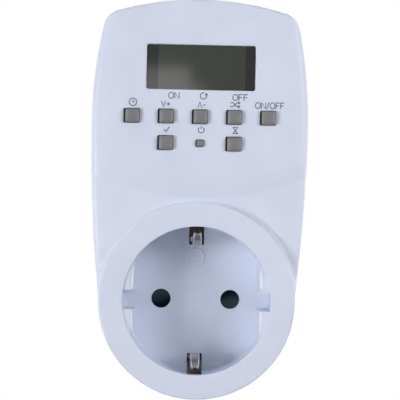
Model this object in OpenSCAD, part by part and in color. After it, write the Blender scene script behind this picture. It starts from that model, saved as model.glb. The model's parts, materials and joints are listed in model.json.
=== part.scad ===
// Plug-in digital timer switch with an earthed two-pin socket.
// Every piece is drawn lying on the plug: x to the right, y up the face and z out of
// the face, with z = 0 at the plug's engagement face. upright() then stands it on the
// wall: x right, -Y to the viewer, +Z up, with the origin on the socket's axis.

/* [Case] */
// Radius of the round lower end, which is the outside of the socket ring
ring_radius = 26.2; // [25.8:0.1:27.5]
// Width of the case at its widest place
case_width = 57.9; // [57:0.1:64]
// Height of the widest place above the socket's axis
widest_at = 47; // [42:1:50]
// Height of the arched top above the socket's axis
case_top = 80.6; // [80:0.1:88]
// Radius of the sides above the widest place
upper_side_radius = 130; // [100:5:180]
// Radius of the arched top
top_radius = 80; // [74:1:140]
// Radius of the two top corners
top_corner = 5.5; // [3:0.5:7]
// Depth of the case, from its rear face to the face of the socket ring
case_depth = 39; // [38.5:0.5:44]
// Depth of the rear housing, from its rear face to the seam
rear_depth = 15.5; // [14.5:0.5:16]
// Wall thickness of both housings
wall = 2; // [1.6:0.1:2.2]
// Radius of the rear housing's back edge
rear_round = 2.5; // [1:0.25:3]
// Width of the strip over which the front curves down to the sides
edge_width = 9; // [6:0.5:10]
// How far the front falls over that strip
edge_fall = 2; // [1.5:0.1:3]
// Radius of the outer edge of the socket ring's face
ring_edge = 0.8; // [0.5:0.1:1.6]
// Height of the seam's lip inside the front housing
seam_lip = 1.5; // [1:0.1:2]

/* [Control panel] */
// How far the panel lies behind the face of the socket ring
panel_drop = 0.9; // [0.6:0.1:1.2]
// How far the valley round the socket ring lies behind its face
valley_drop = 1.9; // [1.6:0.1:2.6]
// Height of the panel's lower edge above the socket's axis, at the middle
panel_low = 29.3; // [28.4:0.1:31]
// Radius of the bow of the panel's lower edge
panel_bow = 100; // [80:5:140]
// How far the panel's sides stand in from the sides of the case
panel_step = 0.15; // [0.1:0.05:0.4]
// Height of the strip over which the panel's face falls to its lower edge
panel_roll = 8; // [6:0.5:9]

/* [Display] */
// Width of the display window
window_width = 28.9; // [26:0.1:30]
// Height of the display window
window_height = 11.6; // [10:0.1:12]
// Height of the window's middle above the socket's axis
window_at = 62.1; // [61.4:0.1:62.6]
// Depth of the lens behind the panel's face
lens_recess = 0.8; // [0.4:0.1:1.2]
// Thickness of the lens behind the panel
lens_plate = 1; // [0.8:0.1:1.2]
// How far the lens, and the glass behind it, reach past the window on each side
lens_margin = 1.8; // [1.2:0.1:2]
// Thickness of the display glass
glass_thickness = 2.2; // [1.8:0.1:2.4]
// Height of the rubber connectors between the glass and the control board
connector_height = 2.1; // [1.6:0.1:2.4]
// Wall of the display's frame
frame_wall = 1; // [0.8:0.1:1.2]

/* [Keys] */
// Width of a square key
key_width = 3.9; // [3.5:0.1:4.4]
// Height of a square key
key_height = 3.6; // [3.3:0.1:4.2]
// How far a square key stands out of the panel
key_stand = 1.4; // [1.2:0.1:1.8]
// Width of the reset key
reset_width = 1.9; // [1.6:0.1:2.4]
// Height of the reset key
reset_height = 1.7; // [1.5:0.1:2.4]
// How far the reset key stands out of the panel
reset_stand = 0.9; // [0.8:0.1:1.4]
// Gap between a key and its hole
key_gap = 0.3; // [0.2:0.05:0.35]
// Distance between neighbouring keys in a row
key_pitch = 9.1; // [8.4:0.1:9.2]
// Height of the upper row of keys above the socket's axis
key_row_at = 49; // [48.6:0.1:49.4]
// Distance between the two rows of keys
row_pitch = 7.1; // [6.8:0.1:7.4]
// Travel of a key when it is pressed
key_travel = 0.8; // [0.5:0.1:1]

/* [Socket] */
// Radius of the socket's well
well_radius = 19.75; // [19.5:0.05:20]
// Depth of the well below the ring's face
well_depth = 17.5; // [17:0.1:18]
// Thickness of the ring's front wall over the cup
lip_thickness = 1.8; // [1.4:0.1:2.2]
// Wall of the socket cup
cup_wall = 1.6; // [1.4:0.1:2]
// Thickness of the cup's floor
floor_thickness = 2.5; // [2:0.1:2.8]
// Distance from the axis to the flat of each guide block
guide_flat = 16.7; // [16.5:0.1:17]
// Width of the groove between the guide blocks
guide_groove = 5; // [4.8:0.1:5.4]
// Chamfer on the guide blocks' front edge
guide_chamfer = 0.9; // [0.4:0.1:1.2]
// How far the guide blocks lie behind the ring's face
guide_drop = 0.5; // [0.3:0.1:1.2]
// Distance between the two pins, of the plug and of the socket
pin_spacing = 19; // [18.8:0.1:19.2]
// Radius of the socket's two pin holes
hole_radius = 2.65; // [2.5:0.05:2.8]
// Width of the slots that the earth springs come through
earth_slot_width = 4.1; // [3.8:0.1:4.4]
// Distance from the axis to the inner edge of each earth slot
earth_slot_from = 14.9; // [14.6:0.1:15.2]

/* [Shutter] */
// Thickness of the child-protection shutter
shutter_thickness = 2.6; // [2.4:0.1:2.8]
// Angle that the shutter turns to open
shutter_turn = 35; // [34:1:37]
// Radius of the shutter's pivot
pivot_radius = 2; // [1.8:0.1:2.4]
// Number of turns of the shutter's spring
spring_turns = 6; // [4:1:8]

/* [Plug] */
// Depth of the plug boss behind the case
boss_depth = 17.5; // [17:0.1:18]
// Radius of the plug boss
boss_radius = 18.6; // [18.4:0.1:19]
// Distance from the axis to the flats of the boss
boss_flat = 16.3; // [16:0.1:16.4]
// Width of the rib in the middle of each flat
boss_rib = 4.6; // [4.2:0.1:4.7]
// Thickness of the plug's face
face_wall = 4; // [3.5:0.1:4.5]
// Radius of the hollow inside the boss
boss_hollow = 14; // [13.6:0.1:14.2]
// Radius of the plug's pins
pin_radius = 2.4; // [2.35:0.05:2.45]
// Length of the plug's pins in front of the plug's face
pin_length = 19; // [18.5:0.1:19.5]
// Rounding of the pins' tips
pin_round = 1; // [0.6:0.1:1.4]

/* [Earth contacts] */
// Thickness of the earth strips
earth_thickness = 0.7; // [0.5:0.1:0.8]
// Width of the earth springs in the socket
earth_width = 2.5; // [2.3:0.1:3]
// Width of the earth strips on the plug
earth_plug_width = 4; // [3.6:0.1:4.4]
// Distance from the axis to the middle of the strips' straight stretch
earth_at = 16.5; // [16.4:0.1:16.6]
// Distance from the axis to the innermost place of the springs
earth_crown = 14.5; // [14.2:0.1:14.8]
// Distance from the axis to the springs' free ends
earth_tip = 18.1; // [17.8:0.1:18.4]

/* [Boards] */
// Thickness of both circuit boards
board_thickness = 1.6; // [1.2:0.1:1.8]
// Gap between a board's edge and the housing's wall
board_gap = 0.8; // [0.5:0.1:1]
// Height of the power board's pads above the rear wall
board_pad = 1.5; // [1:0.1:1.8]
// Height of the power board's lower edge above the ring
power_board_up = 4.5; // [4.2:0.1:5]
// Height of the control board's lower edge above the ring
control_board_up = 7; // [6.4:0.1:7.4]
// Distance of both boards' upper edges below the case's top
board_down = 8.5; // [8:0.1:9.5]

/* [Screws] */
// Radius of the housing screws' shank
screw_radius = 1.4; // [1.2:0.1:1.5]
// Radius of the housing screws' head
screw_head = 2.6; // [2.2:0.1:2.7]
// Length of the housing screws under the head
screw_length = 16; // [14:0.5:18]
// Depth of the screw heads' seats below the rear face
screw_seat = 7.5; // [6:0.5:8.5]
// Radius of the small screws' shank
small_screw_radius = 0.9; // [0.7:0.1:1]
// Radius of the small screws' head
small_screw_head = 1.8; // [1.5:0.1:1.9]

/* [Fits] */
// Gap between pieces that slide or turn on each other
running_gap = 0.05; // [0.02:0.01:0.08]
// Gap between pieces that are pushed together
fit_gap = 0.1; // [0.05:0.05:0.2]
// Gap in front of and behind the shutter
shutter_gap = 0.2; // [0.15:0.05:0.3]

/* [Hidden] */
$fn = 96;

// Colours
white_plastic = [0.86, 0.88, 0.93];
key_grey = [0.47, 0.47, 0.47];
metal = [0.75, 0.75, 0.76];
brass = [0.80, 0.66, 0.36];
dark_plastic = [0.10, 0.14, 0.14];
board_green = [0.10, 0.38, 0.20];

// Depths, from the plug's face to the front
rear_z = boss_depth;
inner_rear_z = rear_z + wall;
seam_z = rear_z + rear_depth;
ring_z = rear_z + case_depth;
panel_z = ring_z - panel_drop;
valley_z = ring_z - valley_drop;
lip_z = ring_z - lip_thickness;
well_z = ring_z - well_depth;
cup_back_z = well_z - floor_thickness;
shutter_front_z = cup_back_z - shutter_gap;
shutter_back_z = shutter_front_z - shutter_thickness;
carrier_z = shutter_back_z - shutter_gap;
carrier_plate = 2;
carrier_back_z = carrier_z - carrier_plate;
panel_back_z = panel_z - wall;
lens_back_z = panel_back_z - lens_plate;
glass_back_z = lens_back_z - glass_thickness;
control_z = glass_back_z - connector_height;
control_back_z = control_z - board_thickness;
power_back_z = inner_rear_z + board_pad;
power_z = power_back_z + board_thickness;

// Overlap that makes one solid of joined shapes, and reach of a cut past a face
bite = 0.5;
through = 1;

// Outline of the case
half_width = case_width / 2;
side_rise = half_width - ring_radius;
lower_radius = (side_rise * side_rise + widest_at * widest_at) / (2 * side_rise);
lower_centre = [half_width - lower_radius, widest_at];
upper_centre = [half_width - upper_side_radius, widest_at];
top_centre = [0, case_top - top_radius];
outline_foot = -2;
least_corner = 0.5;

// Edges of the two boards
power_low = ring_radius + power_board_up;
control_low = ring_radius + control_board_up;
boards_high = case_top - board_down;

// Display
glass_half = window_width / 2 + lens_margin;
glass_rise = window_height / 2 + lens_margin + 0.4;
frame_half = glass_half + fit_gap + frame_wall;
frame_rise = glass_rise + fit_gap + frame_wall;
connector_width = 1.6;
window_corner = 0.5;

// Places of the housing posts
post_radius = 2.8;
seat_clearance = 0.3;
rear_post_radius = screw_head + seat_clearance + 1;
post_inset = 0.8 + post_radius;
top_post_y = case_top - 10.1;
low_post_y = ring_radius + 0.5;
function post_x(y) = max(half_width_at(y) - wall - post_inset,
                         y > window_at ? frame_half + post_radius + 0.3 : 0);
post_places = [for (y = [top_post_y, low_post_y], side = [-1, 1]) [side * post_x(y), y]];
seat_z = rear_z + screw_seat;

// Keys
key_low_row = key_row_at - row_pitch;
key_flange = 0.8;
flange_reach = 0.7;
key_flange_front = panel_back_z - fit_gap;
key_flange_back = key_flange_front - key_flange;
dome_z = key_flange_back - key_travel;
mat_base = 1;
mat_margin = 1.4;
mat_half = 2 * key_pitch + key_width / 2 + mat_margin;
mat_low = key_low_row - key_height / 2 - mat_margin;
mat_high = key_row_at + key_height / 2 + mat_margin;
key_size = [key_width, key_height];
reset_size = [reset_width, reset_height];
function upper_key(i) = [i * key_pitch, key_row_at];
function lower_key(i) = [i * key_pitch, key_low_row];
square_keys = concat([for (i = [-2 : 2]) upper_key(i)], [lower_key(-1), lower_key(1)]);

// Socket
pin_x = pin_spacing / 2;
cup_flange = 1.5;
carrier_posts = [for (a = [68, 248]) 15.75 * [cos(a), sin(a)]];
carrier_post = 2;
earth_slot_to = well_radius + cup_wall + through;
shutter_window = hole_radius + 0.25;
shutter_radius = pin_x + shutter_window + 1;
shutter_hub = 4.5;
lobe_from = -16;
lobe_to = shutter_turn + 17;
ramp_depth = 2;
spring_wire = 0.22;
spring_coil = 0.95;
spring_at = 10;
stop_angle = 110;
stop_half = 0.5;
spring_z = (shutter_front_z + shutter_back_z) / 2;
function polar(r, a) = r * [cos(a), sin(a)];
spring_from = polar(spring_at, 180 + lobe_from - 1.5);
spring_to = polar(spring_at, stop_angle + 4);

// Strips and contacts
strip = 0.8;
pin_root = pin_radius + 0.4;
pin_shoulder = pin_radius + 1.2;
pin_neck = 1.8;
strip_z = face_wall + 1.2;
tail_z = power_z + strip;
tail_top = power_low + 5;
feed_y = 10.2;
feed_x = [-7, -3];
return_y = 6.2;
contact_leaf = 0.6;
contact_half = 3;
contact_high = carrier_back_z - seat_clearance - power_z;
contact_line = [[3, power_z], [3, power_z + 0.28 * contact_high],
                [2.45, power_z + 0.72 * contact_high], [3, power_z + contact_high]];
earth_join_z = carrier_back_z - strip;
earth_low_z = 2.5;
earth_tip_z = ring_z - 4.3;
earth_bow = 0.8;
earth_rim = 0.35;
earth_hollow = 0.2;
tip_chamfer = [0.35, 0.9];
tip_notch = [1.2, 0.45];
groove_floor = earth_at - earth_thickness / 2;

// Large parts on the power board, and the rows that they stand in
relay_size = [29, 12.7, 15.7];
relay_y = tail_top + 2 + relay_size[1] / 2;
film_size = [18, 8.5, 14];
second_row = relay_y + relay_size[1] / 2 + 1.3;
third_row = second_row + film_size[1] + 1;
cell_radius = 5.75;
cell_depth = 5.4;
can_radius = 4;
can_height = 12;
film_right = -0.5;
can_x = film_right + 1.7 + can_radius;
disc_radius = 5;
disc_thickness = 3.5;
disc_leg = 0.4;
disc_x = can_x + can_radius + 1.1 + disc_radius;
diode_pitch = 2.9;
diode_radius = 1.3;
diode_length = 5;
diode_lead = 0.35;
diode_row_x = film_right - film_size[0] + 1.5;
cell_x = 10;
link_pitch = 2.54;
link_pins = 4;
link_x = -2;
link_y = third_row + 0.8;

// Places of the boards' screws, from the frame and the mat or in from the case's sides
small_post = 2.2;
small_head = 1.1;
function in_from_side(y, inset) = [for (side = [-1, 1]) [side * (half_width_at(y) - inset), y]];
control_screws = concat(
    [for (side = [-1, 1]) [side * (frame_half + small_post + 0.9), window_at - 4.9]],
    in_from_side(mat_low - small_post - 0.4, 9.6)
);
power_screws = concat(in_from_side(relay_y + 3.5, 8.4), in_from_side(power_low + 3, 12));

// ---------------------------------------------------------------- helpers

// Stands what is drawn lying down on the wall
module upright() rotate([90, 0, 0]) children();

// Extrudes a flat shape from depth z0 to depth z1
module slab(z0, z1) translate([0, 0, z0]) linear_extrude(z1 - z0) children();

// Extrudes a shape drawn in (x, z) along y, from y0 to y1
module along_y(y0, y1)
    translate([0, y1, 0]) rotate([90, 0, 0]) linear_extrude(y1 - y0) children();

// Extrudes a shape drawn in (y, z) along x, from x0 to x1
module along_x(x0, x1)
    translate([x0, 0, 0]) rotate([90, 0, 90]) linear_extrude(x1 - x0) children();

// A rectangle about a middle, with true round corners
module rounded(size, r) {
    square([size[0] - 2 * r, size[1]], center = true);
    square([size[0], size[1] - 2 * r], center = true);
    for (x = [-1, 1], y = [-1, 1])
        translate([x * (size[0] / 2 - r), y * (size[1] / 2 - r)]) circle(r);
}

// Points of an arc in n steps
function arc(centre, r, from, to, n) =
    [for (i = [0 : n]) let (a = from + (to - from) * i / n) centre + r * [cos(a), sin(a)]];

// Where two circles meet, on the left of the way from the first to the second
function meet(a, ra, b, rb) =
    let (d = norm(b - a), u = (b - a) / d, s = (ra * ra - rb * rb + d * d) / (2 * d))
    a + s * u + sqrt(ra * ra - s * s) * [-u[1], u[0]];

function angle_of(v) = atan2(v[1], v[0]);

function mirrored(points) = [for (i = [len(points) - 1 : -1 : 0]) [-points[i][0], points[i][1]]];

// A bent strip of thickness t along a line of points
function ribbon(p, t) =
    let (
        last = len(p) - 1,
        side = [for (i = [0 : last])
            let (d = p[min(i + 1, last)] - p[max(i - 1, 0)]) [-d[1], d[0]] / norm(d)]
    )
    concat(
        [for (i = [0 : last]) p[i] + side[i] * t / 2],
        [for (i = [last : -1 : 0]) p[i] - side[i] * t / 2]
    );

// Half the width of the case at height y
function half_width_at(y) =
    let (c = y < widest_at ? lower_centre : upper_centre,
         r = y < widest_at ? lower_radius : upper_side_radius)
    c[0] + sign(r) * sqrt(r * r - pow(y - widest_at, 2));

// Right half of the case's outline, inset by d, from a height on its side to the top
function right_side(d, foot) =
    let (
        corner_r = max(top_corner - d, least_corner),
        corner = meet(upper_centre, upper_side_radius - d - corner_r,
                      top_centre, top_radius - d - corner_r),
        a0 = -asin((widest_at - foot) / (lower_radius - d)),
        a1 = angle_of(corner - upper_centre),
        a2 = angle_of(corner - top_centre)
    )
    concat(
        arc(lower_centre, lower_radius - d, a0, 0, 5),
        arc(upper_centre, upper_side_radius - d, a1 / 6, a1, 5),
        arc(corner, corner_r, a1 + (a2 - a1) / 5, a2, 4),
        arc(top_centre, top_radius - d, a2 + (90 - a2) / 5, 90, 4)
    );

// Outline of the case above the ring, inset by d
function case_points(d) =
    let (right = right_side(d, outline_foot)) concat(right, mirrored(right));

// Outline of the panel, inset by d, with its bowed lower edge raised by lift
function panel_points(d, lift) =
    let (
        low = panel_low + lift,
        bow = panel_bow,
        side = half_width_at(panel_low) - d,
        foot = low + bow - sqrt(bow * bow - side * side),
        right = right_side(d, foot),
        reach = asin((right[0][0] - 0.01) / bow)
    )
    concat(right, mirrored(right), arc([0, low + bow], bow, 270 - reach, 270 + reach, 10));

// ---------------------------------------------------------------- housings

edge_steps = [0 : 22.5 : 90];
front_steps = [0 : 15 : 90];

// The front curves down to the sides along a quarter of an ellipse: how far in, and how
// far down, it is at angle a, for a form inset by d
function edge_in(a, d) = d + (edge_width - 1.5 * d) * (1 - cos(a));
function edge_down(a, d) = max(edge_fall - d, edge_fall / 2) * (1 - sin(a));

// The case above the ring, up to the valley, inset by d
module upper_form(d) hull()
    for (a = front_steps)
        slab(seam_z - (d > 0 ? through : 0), valley_z - d - edge_down(a, d))
            polygon(case_points(edge_in(a, d)));

// Height above the bow at which the panel's face has fallen by down
function roll_up(down) = panel_roll * (1 - sqrt(min(down / (valley_drop - panel_drop), 1)));

// The raised control panel, inset by d, which falls to the valley at its bowed lower edge
module panel_form(d) hull()
    for (a = front_steps)
        slab(valley_z - edge_fall - d, panel_z - d - edge_down(a, d))
            polygon(panel_points(panel_step + edge_in(a, d), d + roll_up(edge_down(a, d))));

// The round lower end, up to the ring's face
module ring_form() rotate_extrude() {
    translate([0, seam_z]) square([ring_radius, ring_z - ring_edge - seam_z]);
    translate([0, ring_z - ring_edge - bite]) square([ring_radius - ring_edge, ring_edge + bite]);
    translate([ring_radius - ring_edge, ring_z - ring_edge]) circle(ring_edge);
}

module case_slab(d, z0, z1) slab(z0, z1) {
    polygon(case_points(d));
    circle(ring_radius - d);
}

// A round post from z0 to z1 with a screw hole
module post(r, hole, z0, z1) slab(z0, z1) difference() {
    circle(r);
    circle(hole);
}

module front_housing() color(white_plastic) upright() {
    difference() {
        union() {
            upper_form(0);
            panel_form(0);
            ring_form();
        }
        upper_form(wall);
        panel_form(wall);
        slab(seam_z - through, lip_z) circle(ring_radius - wall);
        slab(lip_z - through, ring_z + through) circle(well_radius);
        case_slab(wall / 2, seam_z - through, seam_z + seam_lip + fit_gap);
        slab(panel_back_z - through, panel_z + through) {
            translate([0, window_at]) rounded([window_width, window_height], window_corner);
            for (p = square_keys) translate(p) key_hole(key_size);
            translate(lower_key(0)) key_hole(reset_size);
        }
    }
    for (p = post_places) translate(p)
        post(post_radius, screw_radius, seam_z,
             (p[1] > panel_low ? panel_back_z : valley_z - wall) + bite);
    for (p = control_screws) translate(p)
        post(small_post, small_screw_radius, control_z, panel_back_z + bite);
}

module key_hole(size) square(size + 2 * key_gap * [1, 1], center = true);

// The rear housing's form above the ring, inset by d
module rear_form(d) {
    r = max(rear_round - d, 0.4);
    z = rear_z + d;
    hull()
        for (a = edge_steps)
            slab(z + r - r * sin(a), seam_z + (d > 0 ? seam_lip + through : 0))
                polygon(case_points(d + r * (1 - cos(a))));
}

// The rear housing's round lower end, inset by d
module rear_ring(d) {
    r = max(rear_round - d, 0.4);
    z = rear_z + d;
    top = seam_z + (d > 0 ? seam_lip + through : 0);
    rotate_extrude() {
        translate([0, z + r]) square([ring_radius - d, top - z - r]);
        translate([0, z]) square([ring_radius - d - r, r + bite]);
        translate([ring_radius - d - r, z + r]) circle(r);
    }
}

// Cross-section of the plug boss, with its flats, ribs and earth grooves
module boss_shape() difference() {
    intersection() {
        circle(boss_radius);
        union() {
            square([2 * boss_flat, 3 * boss_radius], center = true);
            square([3 * boss_radius, boss_rib], center = true);
        }
    }
    for (side = [-1, 1]) translate([0, side * (groove_floor + boss_radius / 2)])
        square([earth_plug_width + 1, boss_radius], center = true);
}

module plug_boss() intersection() {
    slab(0, rear_z + bite) boss_shape();
    rotate_extrude() polygon([
        [0, 0], [boss_radius - 1, 0], [boss_radius + 2, 3],
        [boss_radius + 2, rear_z + through], [0, rear_z + through]
    ]);
}

module rear_housing() color(white_plastic) upright() difference() {
    union() {
        difference() {
            union() {
                rear_form(0);
                rear_ring(0);
                case_slab(wall / 2 + fit_gap, seam_z - through, seam_z + seam_lip);
            }
            rear_form(wall);
            rear_ring(wall);
        }
        plug_boss();
        for (p = post_places) translate(p)
            slab(inner_rear_z - bite, seam_z) circle(rear_post_radius);
        for (p = power_screws) translate(p)
            slab(inner_rear_z - bite, power_back_z) circle(small_post);
    }
    slab(face_wall, inner_rear_z + through) circle(boss_hollow);
    for (side = [-1, 1]) {
        translate([side * pin_x, 0]) slab(-through, face_wall + through)
            circle(pin_root + running_gap);
        translate([0, side * (groove_floor + earth_thickness / 2 + fit_gap)])
            slab(rear_z - through, inner_rear_z + through)
                square([earth_plug_width + 2 * fit_gap, earth_thickness + 2 * fit_gap],
                       center = true);
    }
    for (p = post_places) translate(p) {
        slab(rear_z - through, seat_z) circle(screw_head + seat_clearance);
        slab(seat_z - through, seam_z + through) circle(screw_radius + seat_clearance);
    }
    for (p = power_screws) translate(p)
        slab(inner_rear_z - bite, power_back_z + through) circle(small_screw_radius);
}

// A screw's head of height h behind z, with a cross in it
module cross_head(p, z, head, h) translate(p) difference() {
    slab(z - h, z) circle(head);
    for (turn = [0, 90]) rotate(turn)
        slab(z - h - through, z - h / 2) square([1.3 * head, 0.25 * head], center = true);
}

module screw_set(places, z, head, h, shank, length)
    for (p = places) {
        cross_head(p, z, head, h);
        translate(p) slab(z - h / 4, z + length) circle(shank);
    }

module housing_screws() color(metal) upright()
    screw_set(post_places, seat_z, screw_head, 2, screw_radius, screw_length);

// ---------------------------------------------------------------- socket

module socket_cup() color(white_plastic) upright() {
    difference() {
        union() {
            slab(cup_back_z, lip_z) circle(well_radius + cup_wall);
            slab(lip_z - cup_flange, lip_z) circle(ring_radius - wall - fit_gap);
            slab(carrier_z, cup_back_z + bite) circle(pivot_radius);
            for (p = carrier_posts) translate(p)
                slab(carrier_z, cup_back_z + bite) circle(carrier_post);
            rotate(stop_angle) translate([spring_at, 0])
                slab(carrier_z, cup_back_z + bite) square([4, 2 * stop_half], center = true);
        }
        slab(well_z, lip_z + through) circle(well_radius);
        for (side = [-1, 1]) {
            translate([side * pin_x, 0]) slab(cup_back_z - through, well_z + through)
                circle(hole_radius);
            slab(cup_back_z - through, lip_z - cup_flange)
                translate([0, side * (earth_slot_from + earth_slot_to) / 2])
                    square([earth_slot_width, earth_slot_to - earth_slot_from], center = true);
        }
        for (p = carrier_posts) translate(p)
            slab(carrier_z - through, cup_back_z + floor_thickness / 2)
                circle(small_screw_radius);
    }
    for (side = [0, 1]) mirror([side, 0, 0]) guide_blocks();
}

// The two blocks beside one groove, from the cup's wall to the guide flat. In front of
// the cup they stand free in the ring's opening.
module guide_blocks() intersection() {
    front = ring_z - guide_drop;
    union() {
        slab(well_z - bite, lip_z) circle(well_radius + cup_wall / 2);
        slab(lip_z - bite, front) circle(well_radius - fit_gap);
    }
    for (side = [0, 1]) mirror([0, side, 0])
        along_y(guide_groove / 2, well_radius) polygon([
            [guide_flat, well_z - bite], [guide_flat, front - guide_chamfer],
            [guide_flat + guide_chamfer, front], [well_radius + cup_wall, front],
            [well_radius + cup_wall, well_z - bite]
        ]);
}

// The turning shutter: a hub with two lobes, each with a ramp and a window
module shutter() color(dark_plastic) upright() difference() {
    slab(shutter_back_z, shutter_front_z) difference() {
        union() {
            circle(shutter_hub);
            intersection() {
                circle(shutter_radius);
                for (turn = [0, 180]) rotate(turn) lobe();
            }
        }
        circle(pivot_radius + running_gap);
        for (turn = [0, 180]) rotate(turn + shutter_turn) translate([pin_x, 0])
            circle(shutter_window);
    }
    for (turn = [0, 180]) rotate(turn) ramp_cut();
}

module lobe() polygon(concat([[0, 0]], arc([0, 0], 2 * shutter_radius, lobe_from, lobe_to, 3)));

// Sloped pocket under a closed pin hole, which leads a pin towards the window
module ramp_cut()
    along_x(pin_x - hole_radius - 0.4, pin_x + hole_radius + 0.4) polygon([
        [-hole_radius - 0.2, shutter_front_z + through],
        [-hole_radius - 0.2, shutter_front_z],
        [hole_radius + 0.6, shutter_front_z - ramp_depth],
        [hole_radius + 0.6, shutter_front_z + through]
    ]);

// A coil of round wire along z
module coil(r, wire, length, turns) {
    steps = 14;
    sides = 8;
    rings = steps * turns;
    rise = atan2((length - 2 * wire) / turns, 2 * PI * r);
    points = [
        for (i = [0 : rings])
            let (a = 360 * i / steps, z = wire + (length - 2 * wire) * i / rings)
            for (k = [0 : sides - 1])
                let (b = 360 * k / sides, out = r + wire * cos(b), up = wire * sin(b))
                [out * cos(a) + up * sin(rise) * sin(a),
                 out * sin(a) - up * sin(rise) * cos(a),
                 z + up * cos(rise)]
    ];
    faces = concat(
        [[for (k = [sides - 1 : -1 : 0]) k]],
        [for (i = [0 : rings - 1], k = [0 : sides - 1], half = [0, 1])
            let (a = i * sides, b = a + sides, next = (k + 1) % sides)
            half == 0 ? [a + k, a + next, b + next] : [a + k, b + next, b + k]],
        [[for (k = [0 : sides - 1]) rings * sides + k]]
    );
    polyhedron(points, faces, convexity = 10);
}

// Coil spring between the shutter's lobe and the cup's stop
module shutter_spring() color(metal) upright() {
    way = spring_to - spring_from;
    translate([spring_from[0], spring_from[1], spring_z]) rotate(angle_of(way))
        rotate([0, 90, 0]) coil(spring_coil, spring_wire, norm(way), spring_turns);
}

// Plate behind the shutter, with a sleeve round each contact
module contact_carrier() color(dark_plastic) upright() difference() {
    union() {
        slab(carrier_back_z, carrier_z) circle(earth_at + 1.4);
        for (side = [-1, 1]) translate([side * pin_x, 0.3])
            slab(power_z + 1.4, carrier_back_z + bite)
                square([2 * contact_half + 3.5, 2 * contact_half + 3.2], center = true);
    }
    for (side = [-1, 1]) {
        translate([side * pin_x, 0]) slab(carrier_back_z - through, carrier_z + through)
            circle(shutter_window);
        translate([side * pin_x, 0.3]) slab(power_z, carrier_back_z)
            square([2 * contact_half + 1.5, 2 * contact_half + 1.8], center = true);
        translate([0, side * (earth_at + 2)]) slab(carrier_back_z - through, carrier_z + through)
            square([earth_width + 0.6, 5.4], center = true);
    }
    for (p = carrier_posts) translate(p)
        slab(carrier_back_z - through, carrier_z + through) circle(small_screw_radius + 0.1);
}

module carrier_screws() color(metal) upright()
    screw_set(carrier_posts, carrier_back_z, small_screw_head, small_head,
              small_screw_radius, carrier_plate + 3);

// ---------------------------------------------------------------- plug and contacts

// A solid plug pin with a round tip, a root in the face wall and a riveted neck
module plug_pin() {
    rotate_extrude() {
        translate([0, -pin_length + pin_round]) square([pin_radius, pin_length - pin_round]);
        translate([0, -pin_length]) square([pin_radius - pin_round, pin_round + bite]);
        translate([pin_radius - pin_round, -pin_length + pin_round]) circle(pin_round);
        square([pin_root, face_wall]);
        translate([0, face_wall]) square([pin_shoulder, strip_z - face_wall]);
        translate([0, strip_z]) square([pin_neck, strip + 0.6]);
    }
}

module plug_pin_line() color(metal) upright() translate([-pin_x, 0]) plug_pin();
module plug_pin_neutral() color(metal) upright() translate([pin_x, 0]) plug_pin();

// Two spring leaves and a web, with a tail up to the power board
module socket_contact() {
    for (side = [0, 1]) mirror([side, 0, 0])
        along_y(-contact_half, contact_half + contact_leaf / 2)
            polygon(ribbon(contact_line, contact_leaf));
    slab(power_z, power_z + 0.4 * contact_high) translate([-contact_half - 0.3, contact_half])
        square([2 * contact_half + 0.6, contact_leaf]);
    slab(power_z, tail_z) translate([-2, contact_half]) square([4, tail_top - contact_half]);
}

module line_contact() color(brass) upright() translate([-pin_x, 0]) socket_contact();
module neutral_contact() color(brass) upright() translate([pin_x, 0]) socket_contact();

// From the line pin up to the power board
module line_strip() color(brass) upright() {
    slab(strip_z, strip_z + strip) difference() {
        union() {
            translate([-pin_x, 0]) circle(pin_shoulder);
            polygon([[-pin_x - 2, 2], [-pin_x + 2, -2], [feed_x[1], feed_y - 3],
                     [feed_x[1], feed_y + strip], [feed_x[0], feed_y + strip],
                     [feed_x[0], feed_y - 2]]);
        }
        translate([-pin_x, 0]) circle(pin_neck);
    }
    slab(strip_z, tail_z) translate([feed_x[0], feed_y])
        square([feed_x[1] - feed_x[0], strip]);
    slab(power_z, tail_z) translate([feed_x[0], feed_y])
        square([feed_x[1] - feed_x[0], tail_top - feed_y]);
}

// From the neutral pin to the tail of the neutral contact
module neutral_strip() color(brass) upright() translate([pin_x, 0]) {
    slab(strip_z, strip_z + strip) difference() {
        union() {
            circle(pin_shoulder);
            translate([-2, 0]) square([4, return_y + strip]);
        }
        circle(pin_neck);
    }
    slab(strip_z, power_z) translate([-2, return_y]) square([4, strip]);
    slab(power_z - strip, power_z) translate([-2, return_y]) square([4, 6]);
}

// Height of an earth strip's middle line over its length on the plug
function earth_plug_line() = concat(
    [for (i = [0 : 8])
        [earth_at + earth_bow * pow(sin(22.5 * i), 2),
         earth_low_z + (rear_z - 2 - earth_low_z) * i / 8]],
    [[earth_at, rear_z], [earth_at, earth_join_z + strip]]
);

// and over its length in the socket: straight, in to the crown and out to the tip
function earth_socket_line() =
    let (crown_z = well_z + 7, tip_z = earth_tip_z)
    concat(
        [[earth_at, earth_join_z], [earth_at, well_z - floor_thickness]],
        [for (i = [0 : 5]) let (s = (1 - cos(36 * i)) / 2)
            [earth_at + (earth_crown + earth_thickness / 2 - earth_at) * s,
             well_z + (crown_z - well_z) * i / 5]],
        [for (i = [1 : 5]) let (s = 1 - cos(18 * i))
            [earth_crown + earth_thickness / 2 + (earth_tip - earth_crown) * s,
             crown_z + (tip_z - crown_z) * i / 5]]
    );

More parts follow.
